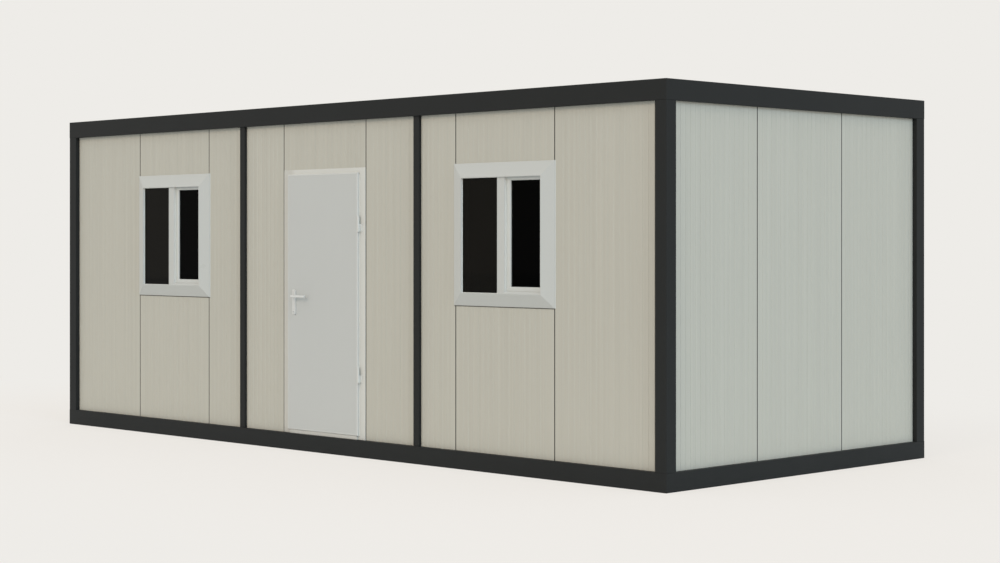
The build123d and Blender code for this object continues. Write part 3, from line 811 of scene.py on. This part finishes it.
class CABIN_OT_glazing(Step, bpy.types.Operator):
    """Sets gaskets round the glass of both windows"""

    bl_idname = "cabin.glazing"
    bl_label = "Glazing gaskets"

    def build(self):
        panes = (
            # The fixed panes' pale gaskets are painted light at the glass's edge.
            ("fixed", "pale_seal_painted_light", sizes().fixed_gasket, 0),
            ("sash", "rubber", sizes().sash_gasket, 0.003),
        )
        for side in WINDOW_SPANS.values():
            for pane, material, width, tuck in panes:
                bm = bmesh.new()
                for outward in (-1, 1):
                    add_glazing(bm, f"window_{pane}_glass_{side}", outward, width, tuck)
                add_piece(bm, f"{pane}_gasket_{side}", material, smooth=50)


class CABIN_OT_window_seals(Step, bpy.types.Operator):
    """Adds the seals, the linings and the interlocks of both windows"""

    bl_idname = "cabin.window_seals"
    bl_label = "Window seals"

    def build(self):
        for side in WINDOW_SPANS.values():
            trim_low, trim_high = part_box(f"window_frame_{side}")
            self.interlock(side, (trim_low[0] + trim_high[0]) / 2)
            self.reveal_lining(side)
            self.bead(side, trim_low, trim_high)
            self.trim_shadow_seal(side, trim_low, trim_high)

    def interlock(self, side, middle_x):
        """Upright cover on the mullion's side that closes the slot beside the sash; its pale colour
        paints light on the mullion's shaded side.
        """
        bm = bmesh.new()
        sash_low, sash_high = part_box(f"window_sash_{side}")
        skin, width, lap = 0.0007, 0.0066, 0.006
        inner = middle_x + MULLION_WIDTH / 2 - lap
        outer = inner + width
        back = sash_low[1] - 0.0008
        step = sash_low[1] - SASH_GAP + 0.0003
        front = step - MULLION_DEPTH + 0.004
        outline = [
            (inner, step), (inner, back), (outer, back),
            (outer, front), (outer - skin, front), (outer - skin, step),
        ]
        add_upright(bm, outline, sash_low[2] + 0.02, sash_high[2])
        add_piece(bm, f"window_interlock_{side}", "pale_seal_painted_light")

    def reveal_lining(self, side):
        """Thin pale lining on the head and the left side of the fixed pane's reveal; it paints light into
        that shaded reveal.
        """
        bm = bmesh.new()
        glass_low, glass_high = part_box(f"window_fixed_glass_{side}")
        skin, deep, clear = 0.0007, 0.0145, 0.0001
        left, right = glass_low[0] + GLASS_BITE, glass_high[0] - GLASS_BITE
        foot, head = glass_low[2] + GLASS_BITE, glass_high[2] - GLASS_BITE
        back = glass_low[1] - clear
        outline = [(left, back), (left, back - deep), (left + skin, back - deep), (left + skin, back)]
        add_upright(bm, outline, foot, head)
        outline = [(head - skin, 0), (head - skin, deep), (head, deep), (head, 0)]
        add_bar(bm, outline, axes((left, back, 0), UP, (0, -1, 0)), right - left)
        add_piece(bm, f"reveal_lining_{side}", "pale_seal_painted_light")

    def bead(self, side, trim_low, trim_high):
        """Pale bead along the outer trim's right edge: a painted highlight on that edge."""
        bm = bmesh.new()
        edge, width, lap = trim_high[0], sizes().highlight_bead_width, 0.001
        outline = [
            (edge - lap, FRONT_FACE), (edge - lap, FRONT_FACE - SEAL_PROUD),
            (edge + 0.3 * width, FRONT_FACE - 0.8 * SEAL_PROUD), (edge + width, FRONT_FACE),
        ]
        add_upright(bm, outline, trim_low[2], trim_high[2] - lap)
        add_piece(bm, f"window_highlight_bead_{side}", "sash_plastic_painted_light")

    def trim_shadow_seal(self, side, trim_low, trim_high):
        """Dark seal under the outer trim, a little shorter than it; its dark colour paints the shadow
        under the trim.
        """
        bm = bmesh.new()
        drop, short = sizes().window_shadow_seal, 0.004
        outline = [(0, 0), (0.0035, 0), (SEAL_PROUD, -drop), (0, -drop)]
        place = placed((trim_low[0] + short, FRONT_FACE, trim_low[2]), (0, -1, 0), UP, (1, 0, 0))
        add_bar(bm, outline, place, trim_high[0] - trim_low[0] - 2 * short)
        add_piece(bm, f"window_shadow_seal_{side}", "trim_shadow_seal")


# Door

LEAF_EDGE_INSET = 0.024
LEAF_BODY = 0.040
RUNNING_GAP = 0.005
JAMB_WIDTH = 0.0835
HEAD_HEIGHT = 0.052
FRAME_PROUD = 0.0035
HINGE_WING = 0.003
HINGE_HEIGHTS = (0.620, 1.770)
SILL_GAP = 0.007
STOP_WIDTH = 0.015
LEAF_LOW, LEAF_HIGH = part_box("door_leaf")
PLATES_LOW, PLATES_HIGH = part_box("door_lock_plates")
OPENING_HALF = high("door_frame")[0] - JAMB_WIDTH
OPENING_HEAD = high("door_frame")[2] - HEAD_HEIGHT
DOOR_FRAME_FACE = FRONT_FACE - FRAME_PROUD


def screw_profile(radius, height):
    """Domed screw head with a round drive."""
    sunk = -0.0005
    return [
        (0, sunk), (radius, sunk), (radius, 0.25 * height), (0.8 * radius, 0.75 * height),
        (0.5 * radius, height), (0.42 * radius, height), (0.36 * radius, 0.4 * height), (0, 0.4 * height),
    ]


def facing_place(x, y, z, outward):
    """Place on an upright face across the cabin's width, its Z pointing outward (-1) or inward (1)."""
    return axes((x, y, z), (-outward, 0, 0), UP)


class CABIN_OT_door_furniture(Step, bpy.types.Operator):
    """Adds the lock cylinders, the screws, the forend and the strike of the door"""

    bl_idname = "cabin.door_furniture"
    bl_label = "Door furniture"

    def build(self):
        key_height, over_key, under_top = 0.022, 0.03, 0.012
        x = (PLATES_LOW[0] + PLATES_HIGH[0]) / 2
        key_z = PLATES_LOW[2] + key_height
        faces = ((PLATES_LOW[1], -1), (PLATES_HIGH[1], 1))
        self.cylinders(x, key_z, faces)
        self.screws(x, (PLATES_HIGH[2] - under_top, key_z + over_key), faces)
        self.hinge_screws()
        self.forend()

    def cylinders(self, x, z, faces):
        """Round lock cylinder on each plate, with a thin dark bar on its face that paints the shade of
        the keyway's slot.
        """
        bm = bmesh.new()
        dark = bmesh.new()
        rose = [
            (0, -0.001), (0.0105, -0.001), (0.0105, 0.0015), (0.0095, 0.0025), (0.0068, 0.0025),
            (0.0064, 0.002), (0.0064, 0.0035), (0.006, 0.004), (0, 0.004),
        ]
        keyway = [
            (-0.0008, -0.0042), (0.0008, -0.0042), (0.0014, 0.0),
            (0.0014, 0.0034), (-0.0014, 0.0034), (-0.0014, 0.0),
        ]
        for y, outward in faces:
            place = facing_place(x, y, z, outward)
            add_turned(bm, rose, place, 24)
            add_bar(dark, keyway, place @ Matrix.Translation((0, 0, 0.0035)), 0.0006)
        add_piece(bm, "lock_cylinders", "handle_metal", "door", smooth=35)
        add_piece(dark, "lock_keyway_shades", "rubber", "door")

    def screws(self, x, heights, faces):
        """Two screws through each plate."""
        bm = bmesh.new()
        screw = screw_profile(radius=0.0038, height=0.0016)
        for y, outward in faces:
            for z in heights:
                add_turned(bm, screw, facing_place(x, y, z, outward), 16)
        add_piece(bm, "plate_screws", "handle_metal", "door", smooth=35)

    def hinge_screws(self):
        """Two screws through each hinge foot on the door frame."""
        bm = bmesh.new()
        screw = screw_profile(radius=0.0038, height=0.0012)
        x = high("hinge_frame_halves")[0] - 0.0085
        y = DOOR_FRAME_FACE - HINGE_WING
        for hinge in HINGE_HEIGHTS:
            for drop in (0.015, 0.045):
                add_turned(bm, screw, facing_place(x, y, hinge - drop, -1), 14)
        add_piece(bm, "hinge_screws", "hinge_coat", smooth=35)

    def forend(self):
        """Lock forend with its bevelled latch on the leaf's edge, and the strike on the jamb."""
        bm = bmesh.new()
        x = LEAF_LOW[0] + LEAF_EDGE_INSET
        y = LEAF_HIGH[1] - LEAF_BODY / 2
        z = (PLATES_LOW[2] + PLATES_HIGH[2]) / 2
        sunk, thick = 0.001, 0.0025
        half_width, half_height, screw_reach = 0.010, 0.085, 0.075
        latch_foot, latch_height = 0.012, 0.024
        place = axes((x, y, z), (0, -1, 0), UP)
        plate = [
            (-half_width, -half_height), (half_width, -half_height),
            (half_width, half_height), (-half_width, half_height),
        ]
        add_bar(bm, plate, place @ Matrix.Translation((0, 0, -sunk)), thick)
        wedge = [(-0.006, 0), (0.006, 0), (0.006, 0.0035), (-0.001, 0.007), (-0.006, 0.007)]
        add_bar(bm, wedge, placed((x, y, z + latch_foot), (0, -1, 0), (-1, 0, 0), UP), latch_height)
        screw = screw_profile(radius=0.0035, height=0.0012)
        for rise in (-screw_reach, screw_reach):
            add_turned(bm, screw, place @ Matrix.Translation((0, rise, thick - sunk)), 12)
        add_piece(bm, "lock_forend", "handle_metal", "door")
        bm = bmesh.new()
        place = axes((-OPENING_HALF, y, z + latch_foot + latch_height / 2), (0, 1, 0), UP)
        add_ring(bm, [(0, 0), (0, 0.001), (0.012, 0.001), (0.012, 0)], place, 0.0085, 0.02)
        add_piece(bm, "lock_strike", "handle_metal")


class CABIN_OT_door_seals(Step, bpy.types.Operator):
    """Adds the seals of the door frame and the pale profile round the leaf's edge"""

    bl_idname = "cabin.door_seals"
    bl_label = "Door seals"

    def build(self):
        self.stop_seal()
        self.lip_seal()
        self.foot_brush_painted_light()
        self.edge_profile_and_highlight()

    def stop_seal(self):
        """Hollow-looking bulb along both jambs and the head, just clear of the closed leaf."""
        bm = bmesh.new()
        y = LEAF_HIGH[1] + RUNNING_GAP
        bulb = [
            (-0.005, 0.001), (-0.005, -0.0012), (-0.003, -0.0036), (0, -0.0045),
            (0.003, -0.0036), (0.005, -0.0012), (0.005, 0.001),
        ]
        stop_middle = OPENING_HALF - STOP_WIDTH / 2
        top = OPENING_HEAD - STOP_WIDTH / 2
        foot = LEAF_LOW[2] - 0.006
        for side in (-1, 1):
            add_upright(bm, bulb, foot, top, side * stop_middle, y)
        across = placed((-stop_middle, y, top), (0, 0, -1), (0, 1, 0), (1, 0, 0))
        add_bar(bm, bulb, across, 2 * stop_middle)
        add_piece(bm, "door_stop_seal", "rubber", smooth=40)

    def lip_seal(self):
        """Flat strip on the door frame behind the leaf's lip, just clear of it; its pale colour paints
        light into the shaded slot behind the lip.
        """
        bm = bmesh.new()
        strip = [
            (0.0005, 0), (0.0005, 0.0036), (0.002, 0.0045),
            (0.0148, 0.0045), (0.0162, 0.0036), (0.0162, 0),
        ]
        for side in (-1, 1):
            outline = [(side * (OPENING_HALF + out), DOOR_FRAME_FACE - off) for out, off in strip]
            add_upright(bm, outline, LEAF_LOW[2], OPENING_HEAD)
        across = axes((-OPENING_HALF, DOOR_FRAME_FACE, OPENING_HEAD), UP, (0, -1, 0))
        add_bar(bm, strip, across, 2 * OPENING_HALF)
        add_piece(bm, "door_lip_seal", "pale_seal_painted_light")

    def foot_brush_painted_light(self):
        """Brush on the sill that closes the gap under the leaf; its pale colour paints light into the
        shade under the leaf's lip.
        """
        bm = bmesh.new()
        half = LEAF_HIGH[0] - LEAF_EDGE_INSET
        foot = LEAF_LOW[2] - SILL_GAP
        top = foot + SILL_GAP - 0.0008
        front, back = LEAF_LOW[1] + 0.0085, LEAF_HIGH[1] - 0.002
        outline = [(front, foot), (front, top), (back, top), (back, foot)]
        add_bar(bm, outline, axes((-half, 0, 0), (0, 1, 0), UP), 2 * half)
        add_piece(bm, "door_foot_brush", "foot_brush_painted_light")

    def edge_profile_and_highlight(self):
        """Thin profile folded over the edge of the leaf's lip; its paler colour is partly its own and
        partly a painted highlight on the leaf's edge.
        """
        bm = bmesh.new()
        place = facing_place(0, LEAF_LOW[1], (LEAF_LOW[2] + LEAF_HIGH[2]) / 2, -1)
        skin, fold, flange, deep = 0.0006, 0.004, 0.0095, 0.0145
        outline = [
            (-flange, 0), (-flange, skin), (-fold, skin), (skin, -fold),
            (skin, -deep), (0, -deep), (0, -fold), (-fold, 0),
        ]
        half_width = (LEAF_HIGH[0] - LEAF_LOW[0]) / 2
        half_height = (LEAF_HIGH[2] - LEAF_LOW[2]) / 2
        add_ring(bm, outline, place, half_width, half_height)
        add_piece(bm, "leaf_edge_profile", "edge_profile_and_highlight", "door")


# Roof

RIB_HEIGHT = 0.0195
ROOF_RISE = 0.025
RAIL_DEPTH = 0.100
JOIST_PITCH = 0.600
JOISTS_EACH_WAY = 5
SCREWS_A_JOIST = 8


class CABIN_OT_roof_screws(Step, bpy.types.Operator):
    """Fixes the roof sheet to its joists with washer-head screws"""

    bl_idname = "cabin.roof_screws"
    bl_label = "Roof screws"

    def build(self):
        bm = bmesh.new()
        pan_top = high("roof_sheet")[2] - RIB_HEIGHT
        fall = ROOF_RISE / (high("top_rail_back")[1] - RAIL_DEPTH)
        washer = [(0, -0.002), (0.009, -0.002), (0.009, 0.001), (0.0065, 0.0024), (0, 0.0024)]
        head = [(0, 0.002), (0.0046, 0.002), (0.0046, 0.0062), (0.0038, 0.0072), (0, 0.0072)]
        for joist in range(-JOISTS_EACH_WAY, JOISTS_EACH_WAY + 1):
            for row in range(SCREWS_A_JOIST):
                y = (row - (SCREWS_A_JOIST - 1) / 2) * sizes().roof_screw_pitch
                place = Matrix.Translation((joist * JOIST_PITCH, y, pan_top - abs(y) * fall))
                add_turned(bm, washer, place, 14)
                add_turned(bm, head, place, 6)
        add_piece(bm, "roof_screws", "zinc_joist")


# Room


class CABIN_OT_room_trims(Step, bpy.types.Operator):
    """Adds the skirting and the coving inside"""

    bl_idname = "cabin.room_trims"
    bl_label = "Room trims"

    def build(self):
        self.skirting()
        self.coving()

    def skirting(self):
        """Plastic skirting along the walls, stopped at the door frame."""
        bm = bmesh.new()
        tall = sizes().skirting_height
        board = [(0, 0), (0.009, 0), (0.009, tall - 0.006), (0.004, tall), (0, tall)]
        door = high("door_frame")[0] + 0.001
        run = ROOM_RIGHT - door
        deep = ROOM_BACK - ROOM_FRONT
        runs = (
            ((ROOM_RIGHT, ROOM_BACK), (-1, 0), 2 * ROOM_RIGHT),
            ((-ROOM_RIGHT, ROOM_BACK), (0, -1), deep),
            ((-ROOM_RIGHT, ROOM_FRONT), (1, 0), run),
            ((door, ROOM_FRONT), (1, 0), run),
            ((ROOM_RIGHT, ROOM_FRONT), (0, 1), deep),
        )
        for (x, y), (a, b), length in runs:
            add_bar(bm, board, placed((x, y, FLOOR_TOP), (-b, a, 0), UP, (a, b, 0)), length)
        add_piece(bm, "skirting", "window_plastic")

    def coving(self):
        """Small angle between walls and ceiling."""
        bm = bmesh.new()
        place = Matrix.Translation((0, (ROOM_BACK + ROOM_FRONT) / 2, CEILING_FOOT))
        leg, edge, waist = -0.028, -0.003, -0.008
        outline = [(0, 0), (0, leg), (edge, leg), (waist, waist), (leg, edge), (leg, 0)]
        add_ring(bm, outline, place, ROOM_RIGHT, (ROOM_BACK - ROOM_FRONT) / 2)
        add_piece(bm, "coving", "window_plastic")


# Stage

SENSOR_WIDTH = 36.0
LENS_SHIFT = (-0.00186, -0.04135)
VIEW_REACH = 200.0
LAMP_SPREAD = math.radians(28)
FLOOR_REACH = 60.0


class CABIN_OT_stage(Step, bpy.types.Operator):
    """Sets the camera, the lamps, the even sky and the pale floor"""

    bl_idname = "cabin.stage"
    bl_label = "Stage"

    def build(self):
        scene = bpy.context.scene
        self.camera(scene)
        self.lamps(scene)
        self.sky(scene)
        self.floor()
        scene.view_settings.view_transform = "Standard"

    def camera(self, scene):
        """Level camera that looks along the cabin from its front right corner."""
        data = bpy.data.cameras.new("camera")
        data.sensor_width = SENSOR_WIDTH
        data.lens = scene.cabin_stage.lens
        data.shift_x, data.shift_y = LENS_SHIFT
        data.clip_end = VIEW_REACH
        camera = add_object("camera", data)
        camera.location = scene.cabin_stage.camera_place
        camera.rotation_euler = (math.radians(90), 0, scene.cabin_stage.camera_heading)
        scene.camera = camera

    def lamps(self, scene):
        """Two broad soft lamps: a warmer one on the front, a cooler one on the right end."""
        stage = scene.cabin_stage
        for name, strength, colour, source in (
            ("front_lamp", stage.front_light, (1.0, 0.77, 0.59), (0.1, -0.8, 0.45)),
            ("side_lamp", stage.side_light, (0.56, 0.78, 1.0), (0.79, -0.14, 0.3)),
        ):
            data = bpy.data.lights.new(name, "SUN")
            data.energy = strength
            data.color = colour
            data.angle = LAMP_SPREAD
            add_object(name, data).rotation_euler = Vector(source).to_track_quat("Z", "Y").to_euler()

    def sky(self, scene):
        """Even light from all sides, which shows as the background to the eye and in gloss."""
        even_light = (0.965, 1.0, 1.025, 1)
        world = bpy.data.worlds.new("sky")
        world.use_nodes = True
        scene.world = world
        tree = world.node_tree
        tree.nodes.clear()
        path = add_node(tree, "LightPath").outputs
        seen = maths(tree, "MAXIMUM", path["Is Camera Ray"], path["Is Glossy Ray"])
        seen = maths(tree, "MAXIMUM", seen, path["Is Transmission Ray"])
        light = add_node(tree, "Background", {0: even_light, 1: scene.cabin_stage.sky_light})
        back = add_node(tree, "Background", {0: tone("background"), 1: 1.0})
        mixed = add_node(tree, "MixShader", {0: seen, 1: light.outputs[0], 2: back.outputs[0]})
        add_node(tree, "OutputWorld", {0: mixed.outputs[0]})

    def floor(self):
        """Pale level floor that keeps the cabin's soft shadow and runs out into the background."""
        bm = bmesh.new()
        bmesh.ops.create_grid(bm, x_segments=8, y_segments=8, size=FLOOR_REACH)
        self.floor_finish()
        floor = add_mesh(bm, "stage_floor", "stage_floor")

    def floor_finish(self):
        """Glowing floor; near the cabin, part of its glow gives way to the light that falls on it."""
        tree, shader = new_material("stage_floor")
        ground = tone("background")
        half_plan = (*CAD_BOX[1][:2], 0.0)
        lit_share = 0.3
        lit_span = (0.7, 5.5)
        near_span = (0.2, 1.6)
        seen_floor = (0.601, 0.608, 0.604, 1)
        near_floor = (0.809, 0.818, 0.812, 1)
        floor_return = (0.595, 0.648, 0.675)
        across = add_node(tree, "VectorMath", {0: object_place(tree)}, operation="ABSOLUTE")
        inputs = {0: across.outputs[0], 1: half_plan}
        out = split(tree, add_node(tree, "VectorMath", inputs, operation="SUBTRACT").outputs[0])
        clear = maths(tree, "MAXIMUM", out["X"], out["Y"])
        lit = remap(tree, clear, lit_span, (lit_share, 0.0))
        near = remap(tree, clear, near_span, (1.0, 0.0))
        eye = add_node(tree, "LightPath").outputs["Is Camera Ray"]
        hidden = maths(tree, "MULTIPLY", eye, maths(tree, "SUBTRACT", 1.0, lit))
        pale = maths(tree, "MULTIPLY", near, maths(tree, "SUBTRACT", 1.0, eye))
        cover = blend_colours(tree, pale, seen_floor, near_floor)
        glow = add_node(tree, "CombineColor")
        for channel in range(3):
            part = maths(tree, "MULTIPLY", lit, floor_return[channel])
            fill(tree, glow, {channel: maths(tree, "SUBTRACT", ground[channel], part)})
        fill(tree, shader, {
            "Base Color": blend_colours(tree, hidden, cover, (0, 0, 0, 1)),
            "Emission Color": glow.outputs["Color"],
            "Emission Strength": eye,
            "Roughness": 1.0,
            "Specular IOR Level": 0.0,
        })


OPERATORS = (
    CABIN_OT_finishes,
    CABIN_OT_wall_skins,
    CABIN_OT_seam_liners,
    CABIN_OT_glazing,
    CABIN_OT_window_seals,
    CABIN_OT_door_furniture,
    CABIN_OT_door_seals,
    CABIN_OT_roof_screws,
    CABIN_OT_room_trims,
    CABIN_OT_stage,
)
SETTINGS = (
    ("cabin_colours", CabinColours),
    ("cabin_sizes", CabinSizes),
    ("cabin_stage", CabinStage),
)


class CABIN_PT_sidebar(bpy.types.Panel):
    """Lists the cabin's steps and settings"""

    bl_idname = "CABIN_PT_sidebar"
    bl_label = "Site Cabin"
    bl_space_type = "VIEW_3D"
    bl_region_type = "UI"
    bl_category = "Site Cabin"

    def draw(self, context):
        for operator in OPERATORS:
            self.layout.operator(operator.bl_idname)
        for name, group_type in SETTINGS:
            box = self.layout.box()
            for key in group_type.__annotations__:
                box.prop(getattr(context.scene, name), key)


def register():
    """Registers the settings, the operators and the panel."""
    for name, group_type in SETTINGS:
        bpy.utils.register_class(group_type)
        setattr(bpy.types.Scene, name, bpy.props.PointerProperty(type=group_type))
    for made in (*OPERATORS, CABIN_PT_sidebar):
        bpy.utils.register_class(made)


def unregister():
    """Undoes register."""
    for made in (CABIN_PT_sidebar, *reversed(OPERATORS)):
        bpy.utils.unregister_class(made)
    for name, group_type in reversed(SETTINGS):
        delattr(bpy.types.Scene, name)
        bpy.utils.unregister_class(group_type)


def main():
    """Runs every step in order."""
    register()
    for operator in OPERATORS:
        folder, step = operator.bl_idname.split(".")
        getattr(getattr(bpy.ops, folder), step)()


if __name__ == "__main__":
    main()
